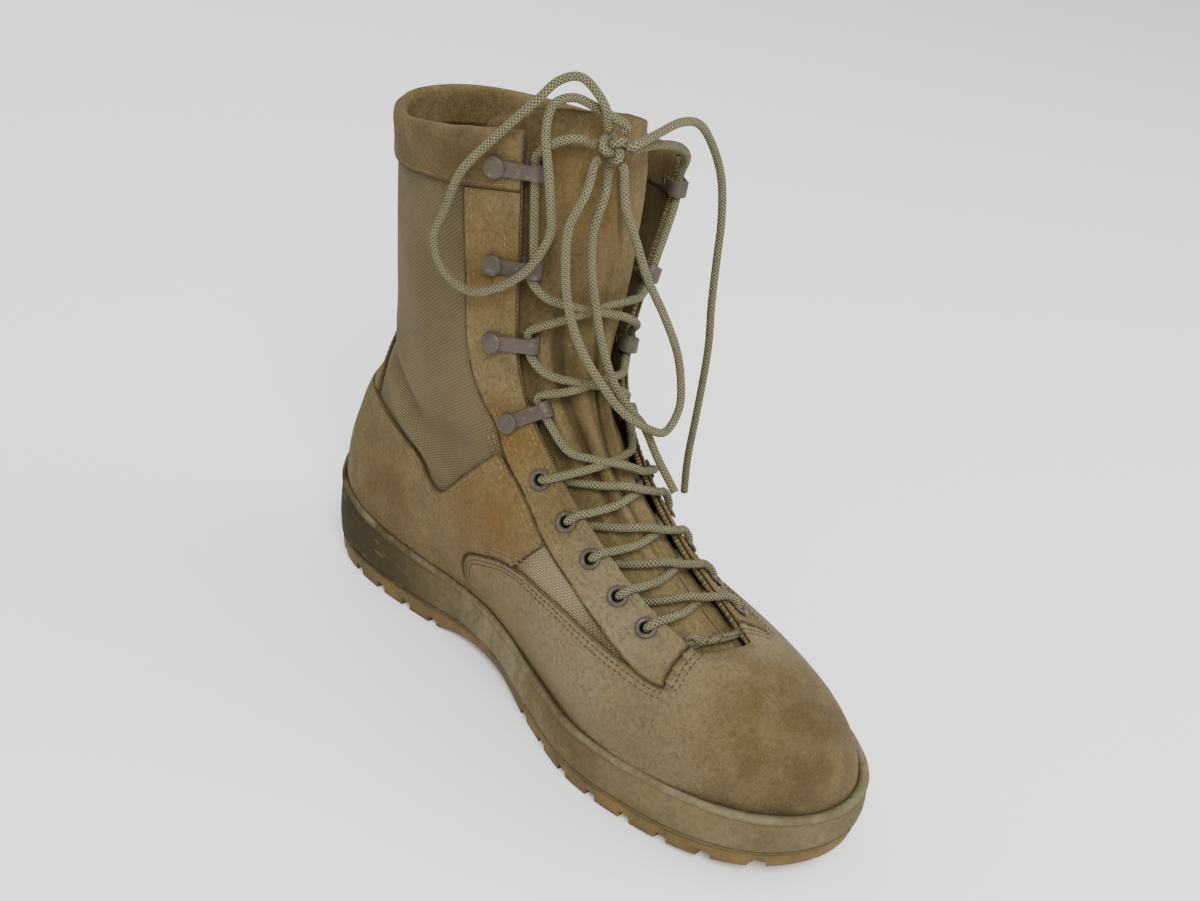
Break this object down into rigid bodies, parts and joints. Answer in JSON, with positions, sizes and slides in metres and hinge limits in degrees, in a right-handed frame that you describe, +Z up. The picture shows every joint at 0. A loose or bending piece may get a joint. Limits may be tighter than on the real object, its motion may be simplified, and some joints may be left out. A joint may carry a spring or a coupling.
{
  "type": "combat boot",
  "caption": "Lace-up combat boot for the left foot, with a suede and fabric upper on a lugged rubber cup sole, tied in a bow.",
  "frame": {"origin": "middle of the boot's box at the floor, measured without the cords of the bow", "axes": "+Y towards the heel, so the toe points to -Y; -X is the medial side; +Z up"},
  "size_m": [0.1186, 0.315, 0.2833],
  "materials": {
    "tread": "matt gum brown",
    "sidewall": "matt olive brown",
    "lining": "brushed",
    "nylon": "ribbed weave",
    "suede": "rough suede",
    "metal": "satin paint",
    "lace": "braided"
  },
  "bodies": {
    "root": {"outsole": "tread", "midsole": "sidewall", "insole": "lining", "upper": "nylon", "tongue": "suede", "vamp": "suede", "quarter": "suede", "eyestay_medial": "suede", "eyestay_lateral": "suede", "backstay": "suede", "collar_band": "suede", "eyelet_medial_1": "metal", "eyelet_medial_2": "metal", "eyelet_medial_3": "metal", "eyelet_medial_4": "metal", "eyelet_medial_5": "metal", "eyelet_lateral_1": "metal", "eyelet_lateral_2": "metal", "eyelet_lateral_3": "metal", "eyelet_lateral_4": "metal", "eyelet_lateral_5": "metal", "hook_medial_1": "metal", "hook_medial_2": "metal", "hook_medial_3": "metal", "hook_medial_4": "metal", "hook_lateral_1": "metal", "hook_lateral_2": "metal", "hook_lateral_3": "metal", "hook_lateral_4": "metal", "lace_crossings": "lace", "lace_knot": "lace", "lace_loop_left": "lace", "lace_loop_front": "lace", "lace_end_front": "lace", "lace_end_side": "lace"}
  },
  "joints": []
}
